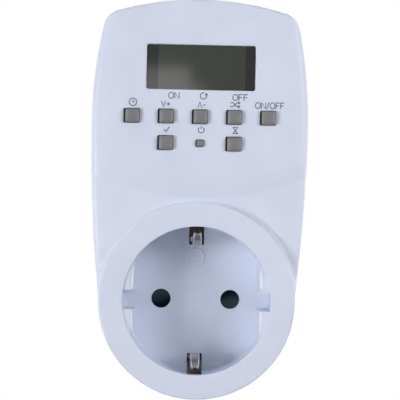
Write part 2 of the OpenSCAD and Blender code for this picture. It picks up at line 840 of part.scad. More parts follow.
// The strip, hollowed between two rims in the socket, with a notched and tapered tip
module earth_contact() {
    along_x(-earth_plug_width / 2, earth_plug_width / 2)
        polygon(ribbon(earth_plug_line(), earth_thickness));
    difference() {
        union() {
            along_x(-earth_width / 2, earth_width / 2)
                polygon(ribbon(earth_socket_line(), earth_thickness - earth_hollow));
            for (x = [-earth_width / 2, earth_width / 2 - earth_rim])
                along_x(x, x + earth_rim)
                    polygon(ribbon(earth_socket_line(), earth_thickness));
        }
        slab(earth_tip_z - 3, earth_tip_z + through)
            translate([0, earth_tip + earth_thickness / 2]) {
                square([tip_notch[0], 2 * tip_notch[1]], center = true);
                for (side = [0, 1]) mirror([side, 0]) polygon([
                    [earth_width / 2, -tip_chamfer[1]], [earth_width, -tip_chamfer[1]],
                    [earth_width, through], [earth_width / 2 - tip_chamfer[0], through],
                    [earth_width / 2 - tip_chamfer[0], 0]
                ]);
            }
    }
}

module earth_contact_top() color(metal) upright() earth_contact();
module earth_contact_bottom() color(metal) upright() mirror([0, 1, 0]) earth_contact();

module earth_bridge() color(metal) upright()
    slab(earth_join_z, carrier_back_z)
        square([earth_plug_width + 1, 2 * groove_floor], center = true);

// ---------------------------------------------------------------- display and keys

module display_lens() color([0.30, 0.32, 0.30, 0.6]) upright() translate([0, window_at]) {
    slab(lens_back_z, panel_back_z) square(2 * [glass_half, glass_rise], center = true);
    slab(panel_back_z - bite, panel_z - lens_recess)
        rounded([window_width, window_height] - 2 * fit_gap * [1, 1], window_corner - fit_gap);
}

module display_glass() color([0.28, 0.29, 0.27]) upright() translate([0, window_at])
    slab(glass_back_z, lens_back_z) square(2 * [glass_half, glass_rise], center = true);

module display_frame() color(dark_plastic) upright() translate([0, window_at])
    slab(control_z, panel_back_z) difference() {
        square(2 * [frame_half, frame_rise], center = true);
        square(2 * [glass_half + fit_gap, glass_rise + fit_gap], center = true);
    }

module display_connectors() color([0.45, 0.25, 0.30]) upright()
    for (side = [-1, 1])
        translate([0, window_at + side * (glass_rise - connector_width / 2)])
            slab(control_z, glass_back_z)
                square([2 * glass_half - 2, connector_width], center = true);

// A key at place p: its cap in the panel, its flange behind it and its plunger
module key(p, size, stand) color(key_grey) upright() translate(p) {
    edge = 0.25;
    top = panel_z + stand;
    hull() {
        slab(key_flange_front - bite, top - edge) square(size, center = true);
        slab(key_flange_front - bite, top) square(size - 2 * edge * [1, 1], center = true);
    }
    slab(key_flange_back, key_flange_front)
        square(size + 2 * (key_gap + flange_reach) * [1, 1], center = true);
    slab(dome_z, key_flange_back + bite) circle(size[1] / 3);
}

module key_clock() key(upper_key(-2), key_size, key_stand);
module key_plus() key(upper_key(-1), key_size, key_stand);
module key_minus() key(upper_key(0), key_size, key_stand);
module key_random() key(upper_key(1), key_size, key_stand);
module key_on_off() key(upper_key(2), key_size, key_stand);
module key_set() key(lower_key(-1), key_size, key_stand);
module key_reset() key(lower_key(0), reset_size, reset_stand);
module key_countdown() key(lower_key(1), key_size, key_stand);

// Rubber mat with a dome under each key
module key_mat() color([0.80, 0.80, 0.78]) upright() {
    slab(control_z, control_z + mat_base) translate([-mat_half, mat_low])
        square([2 * mat_half, mat_high - mat_low]);
    for (p = square_keys) dome(p, key_height);
    dome(lower_key(0), reset_height);
}

module dome(p, size) translate([p[0], p[1], control_z + mat_base - bite])
    cylinder(r1 = size / 2 + 0.8, r2 = size / 3 + 0.2, h = dome_z - control_z - mat_base + bite);

// ---------------------------------------------------------------- boards

// A board's outline between two heights, cut out round posts of radius r
module board_shape(low, high, r) difference() {
    intersection() {
        polygon(case_points(wall + board_gap));
        translate([-case_width / 2, low]) square([case_width, high - low]);
    }
    for (p = post_places) translate(p) circle(r + board_gap);
}

module control_board() color(board_green) upright() slab(control_back_z, control_z)
    difference() {
        board_shape(control_low, boards_high, post_radius);
        for (p = control_screws) translate(p) circle(small_screw_radius + 0.1);
    }

module power_board() color(board_green) upright() slab(power_back_z, power_z)
    difference() {
        board_shape(power_low, boards_high, rear_post_radius);
        for (p = power_screws) translate(p) circle(small_screw_radius + 0.1);
    }

module control_board_screws() color(metal) upright()
    screw_set(control_screws, control_back_z, small_screw_head, small_head,
              small_screw_radius, board_thickness + 3.5);

// These come from the front, so they are turned round
module power_board_screws() color(metal) upright()
    for (p = power_screws) translate([p[0], p[1], power_z]) rotate([180, 0, 0])
        screw_set([[0, 0]], 0, small_screw_head, small_head, small_screw_radius,
                  board_thickness + board_pad);

// Drop of hard resin over the controller
module controller_chip() color([0.05, 0.05, 0.05]) upright() {
    reach = 5;
    height = 1.5;
    ball = (reach * reach + height * height) / (2 * height);
    intersection() {
        translate([0, key_row_at + 3, control_back_z + ball - height]) sphere(ball);
        translate([0, key_row_at + 3]) slab(control_back_z - 2 * height, control_back_z)
            circle(reach + through);
    }
}

module clock_crystal() color(metal) upright()
    translate([6, window_at - 1.5, control_back_z - 1]) rotate([0, 90, 0]) cylinder(r = 1, h = 6);

module relay() color([0.12, 0.14, 0.16]) upright()
    translate([0, relay_y]) slab(power_z, power_z + relay_size[2])
        rounded([relay_size[0], relay_size[1]], 0.6);

module film_capacitor() color([0.82, 0.66, 0.20]) upright()
    translate([film_right - film_size[0] / 2, second_row + film_size[1] / 2])
        slab(power_z, power_z + film_size[2]) rounded([film_size[0], film_size[1]], 0.5);

module smoothing_capacitor() color([0.14, 0.20, 0.42]) upright()
    translate([can_x, second_row + film_size[1] / 2, power_z]) rotate_extrude() {
        square([can_radius - 0.4, can_height]);
        square([can_radius, 1.4]);
        translate([0, 2.2]) square([can_radius, can_height - 2.2]);
    }

// A disc on two legs
module varistor() color([0.16, 0.28, 0.62]) upright()
    translate([disc_x, second_row + film_size[1] / 2, power_z]) {
        translate([0, disc_thickness / 2, disc_radius + 2]) rotate([90, 0, 0])
            cylinder(r = disc_radius, h = disc_thickness);
        for (side = [-1, 1]) translate([side * disc_radius / 2, 0]) cylinder(r = disc_leg, h = 4);
    }

module rectifier_diodes() color([0.08, 0.08, 0.08]) upright()
    for (i = [0 : 3])
        translate([diode_row_x, third_row + 1.4 + diode_pitch * i, power_z + diode_radius])
            rotate([0, 90, 0]) {
                translate([0, 0, diode_length / 2]) cylinder(r = diode_radius, h = diode_length);
                cylinder(r = diode_lead, h = 2 * diode_length);
            }

module backup_cell() color([0.70, 0.71, 0.72]) upright()
    translate([cell_x, boards_high - cell_radius - 0.4, power_z]) {
        cylinder(r = cell_radius, h = cell_depth - 1);
        cylinder(r = cell_radius - 1, h = cell_depth);
    }

// Pins between the two boards, with a header at each end
module board_link() color(dark_plastic) upright() {
    for (i = [0 : link_pins - 1])
        translate([link_x, link_y + link_pitch * (i + 0.5)])
            slab(power_z, control_back_z) square(0.64, center = true);
    translate([link_x - link_pitch / 2, link_y]) {
        slab(power_z, power_z + 2.5) square([link_pitch, link_pins * link_pitch]);
        slab(control_back_z - 8.5, control_back_z) square([link_pitch, link_pins * link_pitch]);
    }
}

front_housing();
rear_housing();
housing_screws();
socket_cup();
shutter();
shutter_spring();
contact_carrier();
carrier_screws();
plug_pin_line();
plug_pin_neutral();
line_contact();
neutral_contact();
line_strip();
neutral_strip();
earth_contact_top();
earth_contact_bottom();
earth_bridge();
display_lens();
display_glass();
display_frame();
display_connectors();
key_clock();
key_plus();
key_minus();
key_random();
key_on_off();
key_set();
key_reset();
key_countdown();
key_mat();
control_board();
controller_chip();
clock_crystal();
control_board_screws();
power_board();
power_board_screws();
relay();
film_capacitor();
smoothing_capacitor();
varistor();
rectifier_diodes();
backup_cell();
board_link();
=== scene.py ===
import json
import math

import bmesh
import bpy
from mathutils import Matrix, Vector
from mathutils.geometry import delaunay_2d_cdt

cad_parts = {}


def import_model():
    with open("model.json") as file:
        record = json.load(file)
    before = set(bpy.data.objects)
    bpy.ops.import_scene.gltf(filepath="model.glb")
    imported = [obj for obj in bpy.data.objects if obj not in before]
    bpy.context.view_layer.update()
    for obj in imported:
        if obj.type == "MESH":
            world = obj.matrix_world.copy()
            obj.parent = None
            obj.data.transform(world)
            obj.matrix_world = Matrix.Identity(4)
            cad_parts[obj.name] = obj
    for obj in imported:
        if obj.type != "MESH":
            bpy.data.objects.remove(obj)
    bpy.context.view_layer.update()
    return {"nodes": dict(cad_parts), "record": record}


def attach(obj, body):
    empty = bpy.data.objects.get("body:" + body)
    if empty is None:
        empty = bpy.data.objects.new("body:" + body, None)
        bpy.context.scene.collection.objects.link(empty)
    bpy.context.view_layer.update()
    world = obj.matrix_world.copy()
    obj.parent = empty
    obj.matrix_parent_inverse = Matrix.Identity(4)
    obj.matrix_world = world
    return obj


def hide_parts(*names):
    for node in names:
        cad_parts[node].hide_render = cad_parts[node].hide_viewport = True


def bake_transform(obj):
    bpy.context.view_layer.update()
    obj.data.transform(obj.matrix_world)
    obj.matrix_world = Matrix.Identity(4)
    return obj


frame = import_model()
NODES = frame["nodes"]

# Lengths are in mm where nothing else is said, and MM turns them into metres. A place on the
# face is (x, z), and p is the depth towards the viewer, so p = -y.
MM = 0.001

# Sizes of the solids
RING = 26.2  # radius of the socket's ring
HALF = 28.95  # half of the case's greatest width
WIDEST = 47.0  # where the case has that width
TOP = 80.6
UPPER_R = 130.0  # radius of the case's sides above the widest place
TOP_R = 80.0  # radius of its top
CORNER = 5.5  # radius of its upper corners
SEAM = 33.0
RING_P = 56.5
PANEL_P = 55.6
VALLEY_P = 54.6
LIP_P = 54.7
PANEL_BACK = 53.6
FLOOR_P = 39.0
WELL = 19.75
WINDOW = (0.0, 62.22, 29.1, 12.05)
LENS_P = 54.8
KEY_ROW = 49.0
LOW_ROW = 41.9
PITCH = 9.1

# Key caps and their holes, as left, right, bottom and top of the key's middle
CAP = (-1.76, 1.96, -1.83, 1.73)
CAP_HOLE = (-2.2, 2.03, -1.95, 1.98)
SMALL_CAP = (-0.8, 1.04, -0.86, 0.80)
SMALL_HOLE = (-1.06, 1.10, -0.97, 1.02)

# Rounding and blends of the front
EDGE = 9.0  # width of the crown along the outline
CROWN = 0.9  # how far it falls
RIM = 1.1  # radius of the outline's edge
PANEL_STEP = 0.15  # how far the panel's outline lies inside the valley's
RING_EDGE = 0.5
WELL_EDGE = 0.12
PANEL_LOW = 27.2  # lowest place of the bow that ends the panel
BOW = 68.0  # its radius
ROLL = 8.0  # width in which the panel rolls down to it
FOOT_TOP, FOOT_MORE, FOOT_FULL = 0.35, 0.95, 0.75  # the ring's concave foot, see foot_width


# ---------------------------------------------------------------- outline of the case

LOWER_R = ((HALF - RING) ** 2 + WIDEST**2) / (2 * (HALF - RING))
LOWER_X = HALF - LOWER_R
UPPER_X = HALF - UPPER_R
TOP_Z = TOP - TOP_R


def circles_meet(ax, az, ra, bx, bz, rb):
    """Where two circles meet, on the left of the way from the first to the second."""
    d = math.hypot(bx - ax, bz - az)
    ux, uz = (bx - ax) / d, (bz - az) / d
    s = (ra * ra - rb * rb + d * d) / (2 * d)
    h = math.sqrt(ra * ra - s * s)
    return ax + s * ux - h * uz, az + s * uz + h * ux


CORNER_X, CORNER_Z = circles_meet(UPPER_X, WIDEST, UPPER_R - CORNER, 0, TOP_Z, TOP_R - CORNER)
A_SIDE = math.atan2(CORNER_Z - WIDEST, CORNER_X - UPPER_X)
A_TOP = math.atan2(CORNER_Z - TOP_Z, CORNER_X)


def case_inset(x, z):
    """Distance inside the outline of the case's upper part."""
    x = abs(x)
    if z < WIDEST:
        side = LOWER_R - math.hypot(x - LOWER_X, z - WIDEST)
    else:
        side = UPPER_R - math.hypot(x - UPPER_X, z - WIDEST)
    dx, dz = x - CORNER_X, z - CORNER_Z
    if A_SIDE <= math.atan2(dz, dx) <= A_TOP:
        return CORNER - math.hypot(dx, dz)
    return min(side, TOP_R - math.hypot(x, z - TOP_Z))


def outward(x, z):
    """Direction out of the case, across its outline."""
    if z < 0:
        r = math.hypot(x, z)
        return x / r, z / r
    h = 0.01
    gx = case_inset(x - h, z) - case_inset(x + h, z)
    gz = case_inset(x, z - h) - case_inset(x, z + h)
    r = math.hypot(gx, gz) or 1.0
    return gx / r, gz / r


def on_arc(cx, cz, r, a0, a1, n):
    """An arc as n + 1 points."""
    return [
        (cx + r * math.cos(a0 + (a1 - a0) * i / n), cz + r * math.sin(a0 + (a1 - a0) * i / n))
        for i in range(n + 1)
    ]


def inset_line(d):
    """The case's side, top and side again, inset by d, from the ring's height on the right."""
    low = -math.asin(WIDEST / (LOWER_R - d))
    right = on_arc(LOWER_X, WIDEST, LOWER_R - d, low, 0, 44)
    if d < CORNER:
        a1, a2 = A_SIDE, A_TOP
    else:
        x, z = circles_meet(UPPER_X, WIDEST, UPPER_R - d, 0, TOP_Z, TOP_R - d)
        a1, a2 = math.atan2(z - WIDEST, x - UPPER_X), math.atan2(z - TOP_Z, x)
    right += on_arc(UPPER_X, WIDEST, UPPER_R - d, 0, a1, 30)[1:]
    if d < CORNER:
        right += on_arc(CORNER_X, CORNER_Z, CORNER - d, a1, a2, 14)[1:]
    right += on_arc(0, TOP_Z, TOP_R - d, a2, math.pi / 2, 30)[1:]
    return right + [(-x, z) for x, z in right[-2::-1]]


# ---------------------------------------------------------------- form of the front

def smooth(t):
    t = min(max(t, 0.0), 1.0)
    return t * t * (3 - 2 * t)


def rounding(d, r):
    """How far a round edge of radius r lies below its face, d inside the edge."""
    d = max(d, 0.0)
    return 0.0 if d >= r else r - math.sqrt(r * r - (r - d) ** 2)


def from_rect(x, z, rect, r):
    """Distance outside a rectangle with round corners, and -1 inside it."""
    cx, cz, w, h = rect
    dx = max(abs(x - cx) - w / 2 + r, 0.0)
    dz = max(abs(z - cz) - h / 2 + r, 0.0)
    return math.hypot(dx, dz) - r if dx or dz else -1.0


def rect_at(place, sides):
    """A rectangle as middle, width and height, from its sides' distances from a place."""
    left, right, low, high = sides
    return (place[0] + (left + right) / 2, place[1] + (low + high) / 2, right - left, high - low)


KEY_PLACES = {
    "key_clock": (-2 * PITCH, KEY_ROW),
    "key_plus": (-PITCH, KEY_ROW),
    "key_minus": (0.0, KEY_ROW),
    "key_random": (PITCH, KEY_ROW),
    "key_on_off": (2 * PITCH, KEY_ROW),
    "key_set": (-PITCH, LOW_ROW),
    "key_reset": (0.0, LOW_ROW),
    "key_countdown": (PITCH, LOW_ROW),
}
# Holes in the panel, each a rectangle, the radius of its corners and that of its edge
HOLES = [(WINDOW, 0.6, 0.3)]
for key, spot in KEY_PLACES.items():
    HOLES.append((rect_at(spot, SMALL_HOLE if key == "key_reset" else CAP_HOLE), 0.3, 0.12))


def edge_fall(d):
    """How far the front lies below its face, d inside the outline."""
    t = 1 - min(max(d, 0.0), EDGE) / EDGE
    return CROWN * t * t + rounding(d, RIM)


def above_bow(x, z):
    """Distance above the bow that ends the panel."""
    return BOW - math.hypot(x, z - PANEL_LOW - BOW)


def upper_p(x, z):
    """Depth of the panel and the valley under it, without ring and holes."""
    d = case_inset(x, z)
    e = above_bow(x, z)
    if e <= 0:
        return VALLEY_P - edge_fall(d)
    roll = (1 - min(e / ROLL, 1.0)) ** 2
    return PANEL_P - edge_fall(d - PANEL_STEP * smooth(e)) - roll * (PANEL_P - VALLEY_P)


def foot_width(c):
    """Width of the ring's concave foot where the place's cosine is c, least at the ring's top."""
    return FOOT_TOP + FOOT_MORE * smooth(abs(c) / FOOT_FULL)


def front_p(x, z):
    """Depth of the front's surface at a place on the face."""
    rho = math.hypot(x, z)
    if rho <= RING + 1e-4:
        p = RING_P - rounding(RING - rho, RING_EDGE) - rounding(rho - WELL, WELL_EDGE)
    else:
        wide = foot_width(x / rho)
        p = upper_p(x, z)
        if rho - RING < wide:
            p += wide * (1 - math.sqrt(max(1 - (1 - (rho - RING) / wide) ** 2, 0)))
    for rect, r, edge in HOLES:
        p -= rounding(from_rect(x, z, rect, r), edge)
    return p


def inside(x, z):
    """Whether a place is on the front's surface, not in the well, in a hole or off the case."""
    rho = math.hypot(x, z)
    if rho < WELL or (rho > RING and (z < 0 or case_inset(x, z) < 0)):
        return False
    return all(from_rect(x, z, rect, r) > 0 for rect, r, _ in HOLES)


# ---------------------------------------------------------------- mesh helpers

CORNER_STEPS = 4  # in each corner of a rectangle


def at(x, p, z):
    """A place with its depth, as Blender's coordinates."""
    return x * MM, -p * MM, z * MM


def add_object(name, data):
    obj = bpy.data.objects.new(name, data)
    bpy.context.scene.collection.objects.link(obj)
    return obj


def add_mesh(name, bm, materials):
    """Turns a bmesh into an object."""
    data = bpy.data.meshes.new(name)
    bm.to_mesh(data)
    bm.free()
    for m in materials:
        data.materials.append(m)
    return add_object(name, data)


def finish_mesh(name, bm, body, materials, smooth_faces=True):
    """Makes a piece that rides on a body, if one is given, and has a material slot."""
    bm.normal_update()
    obj = add_mesh(name, bm, materials)
    for p in obj.data.polygons:
        p.use_smooth = smooth_faces
    if body:
        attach(obj, body)
    return obj


def face_forward(bm):
    """Makes the normals agree, so that most look at the viewer."""
    bmesh.ops.recalc_face_normals(bm, faces=bm.faces)
    if sum(f.normal.y * f.calc_area() for f in bm.faces) > 0:
        bmesh.ops.reverse_faces(bm, faces=bm.faces)


def strips(bm, rows, closed=False):
    """Faces between rows of vertices, each turned towards the viewer."""
    for a, b in zip(rows, rows[1:] + rows[:1] if closed else rows[1:]):
        for i in range(len(a) - 1):
            f = bm.faces.new((a[i], a[i + 1], b[i + 1], b[i]))
            f.normal_update()
            if f.normal.y > 0:
                f.normal_flip()


def rect_loop(rect, r, grow=0.0):
    """A rectangle with corners of radius r, grown by grow, as points."""
    cx, cz, w, h = rect
    pts = []
    for k, (sx, sz) in enumerate([(1, 1), (-1, 1), (-1, -1), (1, -1)]):
        ox, oz = cx + sx * (w / 2 - r), cz + sz * (h / 2 - r)
        a0 = k * math.pi / 2
        pts += on_arc(ox, oz, r + grow, a0, a0 + math.pi / 2, CORNER_STEPS)
    return pts


def rounded_box(bm, lo, hi, edge=0.0, segments=1):
    """A box between two corners in Blender's directions, in mm, with round edges."""
    made = bmesh.ops.create_cube(bm, size=1.0)["verts"]
    for q in made:
        q.co = Vector((lo[i] if q.co[i] < 0 else hi[i]) * MM for i in range(3))
    if edge:
        edges = {e for q in made for f in q.link_faces for e in f.edges}
        bmesh.ops.bevel(bm, geom=list(edges), offset=edge * MM, segments=segments,
                        profile=0.5, affect="EDGES", clamp_overlap=True)


def tube(bm, points, r, sides=8):
    """A round bar along points in Blender's directions, in mm."""
    pts = [Vector(q) for q in points]
    rings = []
    for i, q in enumerate(pts):
        t = (pts[min(i + 1, len(pts) - 1)] - pts[max(i - 1, 0)]).normalized()
        u = t.cross(Vector((1, 0, 0))).normalized()
        v = t.cross(u)
        rings.append([bm.verts.new((q + r * (math.cos(a) * u + math.sin(a) * v)) * MM)
                      for a in (2 * math.pi * k / sides for k in range(sides))])
    for a, b in zip(rings, rings[1:]):
        for k in range(sides):
            bm.faces.new((a[k], a[(k + 1) % sides], b[(k + 1) % sides], b[k]))
    bm.faces.new(rings[0][::-1])
    bm.faces.new(rings[-1])


# ---------------------------------------------------------------- materials

COLOUR_NOISE = 90.0  # scales of the noises, per metre
ROUGHNESS_NOISE = 6000.0
RELIEF = 0.00002  # height of the relief, in metres


def new_material(name, colour, roughness, metallic=0.0, vary=0.02, bump=0.0, bump_scale=5000.0,
                 specular=0.5, stretch=(1, 1, 1), rough_vary=0.04):
    """A principled material with fine variation of colour, roughness and height."""
    mat = bpy.data.materials.new(name)
    mat.use_nodes = True
    tree = mat.node_tree
    bsdf = tree.nodes["Principled BSDF"]
    bsdf.inputs["Metallic"].default_value = metallic
    bsdf.inputs["Specular IOR Level"].default_value = specular
    coords = tree.nodes.new("ShaderNodeTexCoord")
    scale = tree.nodes.new("ShaderNodeMapping")
    scale.inputs["Scale"].default_value = stretch
    tree.links.new(coords.outputs["Object"], scale.inputs["Vector"])

    def noise(size, detail):
        n = tree.nodes.new("ShaderNodeTexNoise")
        n.inputs["Scale"].default_value = size
        n.inputs["Detail"].default_value = detail
        tree.links.new(scale.outputs["Vector"], n.inputs["Vector"])
        return n.outputs["Fac"]

    ramp = tree.nodes.new("ShaderNodeValToRGB")
    for end, place, part in zip(ramp.color_ramp.elements, (0.3, 0.7), (1 - vary, 1 + vary)):
        end.position = place
        end.color = (*[min(c * part, 1) for c in colour], 1)
    tree.links.new(noise(COLOUR_NOISE, 3.0), ramp.inputs["Fac"])
    tree.links.new(ramp.outputs["Color"], bsdf.inputs["Base Color"])
    span = tree.nodes.new("ShaderNodeMapRange")
    span.inputs["To Min"].default_value = max(roughness - rough_vary, 0.01)
    span.inputs["To Max"].default_value = roughness + rough_vary
    tree.links.new(noise(ROUGHNESS_NOISE, 2.0), span.inputs["Value"])
    tree.links.new(span.outputs["Result"], bsdf.inputs["Roughness"])
    if bump:
        relief = tree.nodes.new("ShaderNodeBump")
        relief.inputs["Strength"].default_value = bump
        relief.inputs["Distance"].default_value = RELIEF
        tree.links.new(noise(bump_scale, 2.0), relief.inputs["Height"])
        tree.links.new(relief.outputs["Normal"], bsdf.inputs["Normal"])
    return mat


# Colour, roughness and what differs from new_material's own values
LOOKS = {
    "housing_white": ((0.742, 0.790, 0.898), 0.34, {"bump": 0.12, "bump_scale": 3500}),
    # painted highlight: a lighter copy of housing_white, for the light that the raised floor marks
    # and the guide ribs catch
    "painted_highlight_white": ((0.87, 0.91, 0.98), 0.25, {"bump": 0.1, "bump_scale": 3500}),
    "key_grey": ((0.190, 0.190, 0.188), 0.46, {"bump": 0.2}),
    "dark_plastic": ((0.008, 0.038, 0.056), 0.3, {"specular": 0.35, "bump": 0.1}),
    "nickel": ((0.52, 0.50, 0.50), 0.22,
               {"metallic": 1, "vary": 0.05, "bump": 0.15, "bump_scale": 3000,
                "stretch": (6, 1, 1)}),
    "brass": ((0.72, 0.52, 0.22), 0.3, {"metallic": 1, "vary": 0.08, "bump": 0.1}),
    "steel": ((0.55, 0.55, 0.56), 0.32, {"metallic": 1, "vary": 0.06, "bump": 0.15}),
    "spring_steel": ((0.6, 0.6, 0.61), 0.25, {"metallic": 1}),
    "lens": ((0.018, 0.023, 0.012), 0.06, {"rough_vary": 0.01, "vary": 0.1}),
    "display": ((0.04, 0.045, 0.04), 0.1, {"rough_vary": 0.01}),
    "silicone": ((0.55, 0.55, 0.52), 0.6, {"bump": 0.2}),
    "zebra": ((0.30, 0.16, 0.18), 0.6,
              {"bump": 0.3, "bump_scale": 12000, "stretch": (1, 0.05, 0.05)}),
    "board": ((0.02, 0.14, 0.06), 0.35, {"vary": 0.15, "bump": 0.1}),
    "resin": ((0.01, 0.01, 0.01), 0.2, {"bump": 0.1}),
    "relay_case": ((0.02, 0.025, 0.03), 0.4, {"bump": 0.2}),
    "film_yellow": ((0.62, 0.40, 0.06), 0.35, {"bump": 0.1}),
    "sleeve_blue": ((0.03, 0.06, 0.20), 0.25, {}),
    "varistor_blue": ((0.03, 0.09, 0.35), 0.3, {"bump": 0.1}),
    "legend": ((0.115, 0.12, 0.15), 0.5, {"vary": 0.06, "bump": 0.1}),
    "nickel_edge": ((0.60, 0.58, 0.58), 0.35, {"metallic": 0.25, "bump": 0.1}),
    "carrier_brown": ((0.20, 0.135, 0.135), 0.45, {"bump": 0.15}),
    # painted light: a lighter copy of carrier_brown for the bottom slot's back, where more light
    # reaches
    "painted_lit_brown": ((0.50, 0.40, 0.42), 0.45, {"bump": 0.15}),
    "margin": ((0.006, 0.007, 0.006), 0.06,
               {"rough_vary": 0.01, "specular": 0.38, "vary": 0.08}),
}
MATS = {look: new_material(look, colour, roughness, **more)
        for look, (colour, roughness, more) in LOOKS.items()}
SLOT_OF = {s["node"]: s["material_slot"] for s in frame["record"]["subparts"]}
for node_name, node in NODES.items():
    look = "carrier_brown" if node_name == "contact_carrier" else SLOT_OF[node_name]
    node.data.materials.clear()
    node.data.materials.append(MATS[look])


# ---------------------------------------------------------------- smooth shading of solids

WELD = 2e-7  # in metres
SHARP = math.radians(32)


def shade_group():
    """Welds the faces of a solid and shades them smooth, except across sharp edges."""
    tree = bpy.data.node_groups.new("smooth_by_angle", "GeometryNodeTree")
    tree.interface.new_socket("Geometry", in_out="INPUT", socket_type="NodeSocketGeometry")
    tree.interface.new_socket("Geometry", in_out="OUTPUT", socket_type="NodeSocketGeometry")
    start = tree.nodes.new("NodeGroupInput")
    end = tree.nodes.new("NodeGroupOutput")
    drop = tree.nodes.new("GeometryNodeRemoveAttribute")
    drop.inputs["Name"].default_value = "custom_normal"
    weld = tree.nodes.new("GeometryNodeMergeByDistance")
    weld.inputs["Distance"].default_value = WELD
    faces = tree.nodes.new("GeometryNodeSetShadeSmooth")
    sharp = tree.nodes.new("GeometryNodeSetShadeSmooth")
    sharp.domain = "EDGE"
    sharp.inputs["Shade Smooth"].default_value = False
    angle = tree.nodes.new("GeometryNodeInputMeshEdgeAngle")
    more = tree.nodes.new("FunctionNodeCompare")
    more.data_type = "FLOAT"
    more.operation = "GREATER_THAN"
    more.inputs[1].default_value = SHARP
    link = tree.links.new
    link(start.outputs[0], drop.inputs[0])
    link(drop.outputs[0], weld.inputs[0])
    link(weld.outputs[0], faces.inputs[0])
    link(faces.outputs[0], sharp.inputs[0])
    link(angle.outputs[0], more.inputs[0])
    link(more.outputs[0], sharp.inputs["Selection"])
    link(sharp.outputs[0], end.inputs[0])
    return tree


SHADE = shade_group()


def shade(obj):
    """Shades a solid, or a piece made as one, by shade_group."""
    obj.modifiers.new("shade", "NODES").node_group = SHADE


for node in NODES.values():
    shade(node)


# ---------------------------------------------------------------- front housing

# Lines of the face
QUARTER = [math.radians(11.25 * k) for k in range(9)]  # the steps of a round edge
CROWN_LINES = (1.6, 2.2, 2.9, 3.7, 4.6, 5.6, 6.7, 7.8, EDGE)
FACE_CIRCLES = (21.2, 22.6, 24.0)
RING_SIDES, WELL_SIDES, FACE_SIDES, BOW_SIDES = 240, 180, 120, 60
RING_GAP, CASE_GAP = 0.04, 0.03  # how far other lines keep from the ring and the outline
FOOT_START = RING + 0.03
FOOT_ROWS, FOOT_SIDES, FOOT_SPREAD = 8, 120, 1.5
BOW_REACH = 29.0  # to each side
BOW_UNDER = 0.2  # where the valley has a line under the bow
ROLL_ROWS = 12

# Free points between the lines: distance, number to each side and upwards, and how far they
# keep from the crown and the bow, from the ring's foot and from the holes
GRID, GRID_SIDE, GRID_UP = 1.7, 17, 48
FREE, FREE_FOOT, FREE_HOLE = 0.6, 0.4, 0.5

# Walls behind the face, and how near to the well or a hole their edges are told
NEAR_WELL, NEAR_HOLE = 0.1, 0.05
WALL_START = 0.25  # a narrow first strip of the outer wall, which keeps its shading even
GROOVE = 0.2  # width and depth of the groove at the seam
SEAM_GAP = 0.02
LEDGE = 1.4


def front_lines():
    """Points of the front's face, and the edges that its triangles keep to."""
    points, edges = [], []

    def line(places, closed=False, keep=None):
        """Adds a line, or those runs of it that are kept."""
        runs = [[]]
        for q in places:
            if keep is None or keep(*q):
                runs[-1].append(q)
            elif runs[-1]:
                runs.append([])
        for run in runs:
            base = len(points)
            points.extend(Vector(q) for q in run)
            edges.extend((base + i, base + i + 1) for i in range(len(run) - 1))
            if closed:
                edges.append((base + len(run) - 1, base))

    def circle(r, n, keep=None):
        places = on_arc(0, 0, r, 0, 2 * math.pi, n)
        if keep:
            line(places, keep=keep)
        else:
            line(places[:-1], closed=True)

    def clear_ring(x, z):
        return math.hypot(x, z) > RING + RING_GAP

    def in_case(x, z):
        return z > 0 and case_inset(x, z) > CASE_GAP

    low_ring = on_arc(0, 0, RING, math.pi, 2 * math.pi, FACE_SIDES)[1:-1]
    line(inset_line(0.0) + low_ring, closed=True)
    for a in QUARTER[1:]:
        line(inset_line(RIM * (1 - math.cos(a))), keep=clear_ring)
    for d in CROWN_LINES:
        line(inset_line(d), keep=clear_ring)
    circle(RING, RING_SIDES, in_case)
    circle(FOOT_START, RING_SIDES, in_case)
    for k in range(1, FOOT_ROWS + 1):
        foot = []
        for i in range(FOOT_SIDES + 1):
            c, s = math.cos(math.pi * i / FOOT_SIDES), math.sin(math.pi * i / FOOT_SIDES)
            r = FOOT_START + foot_width(c) * (k / FOOT_ROWS) ** FOOT_SPREAD
            foot.append((r * c, r * s))
        line(foot, keep=in_case)
    for a in QUARTER[1:]:
        circle(RING - RING_EDGE * (1 - math.cos(a)), RING_SIDES)
    circle(WELL, WELL_SIDES)
    for a in QUARTER[2::2]:
        circle(WELL + WELL_EDGE * (1 - math.cos(a)), WELL_SIDES)
    for r in FACE_CIRCLES:
        circle(r, FACE_SIDES)
    for r in (BOW + BOW_UNDER, *(BOW - ROLL * k / ROLL_ROWS for k in range(ROLL_ROWS + 1))):
        turn = math.asin(BOW_REACH / r)
        first, last = -math.pi / 2 - turn, -math.pi / 2 + turn
        line(on_arc(0, PANEL_LOW + BOW, r, first, last, BOW_SIDES), keep=in_case)
    for rect, r, edge in HOLES:
        for a in (0, 30, 60, 90):
            line(rect_loop(rect, r, edge * (1 - math.cos(math.radians(a)))), closed=True)
    for i in range(-GRID_SIDE, GRID_SIDE + 1):
        for j in range(GRID_UP):
            x, z = i * GRID + (j % 2) * GRID / 2, j * GRID
            rho = max(math.hypot(x, z), GRID / 2)  # the axis itself has no direction
            if (not -FREE < above_bow(x, z) < ROLL + FREE
                    and case_inset(x, z) > EDGE + FREE
                    and rho > RING + foot_width(x / rho) + FREE_FOOT
                    and all(from_rect(x, z, rect, r) > FREE_HOLE for rect, r, _ in HOLES)):
                points.append(Vector((x, z)))
    return points, edges


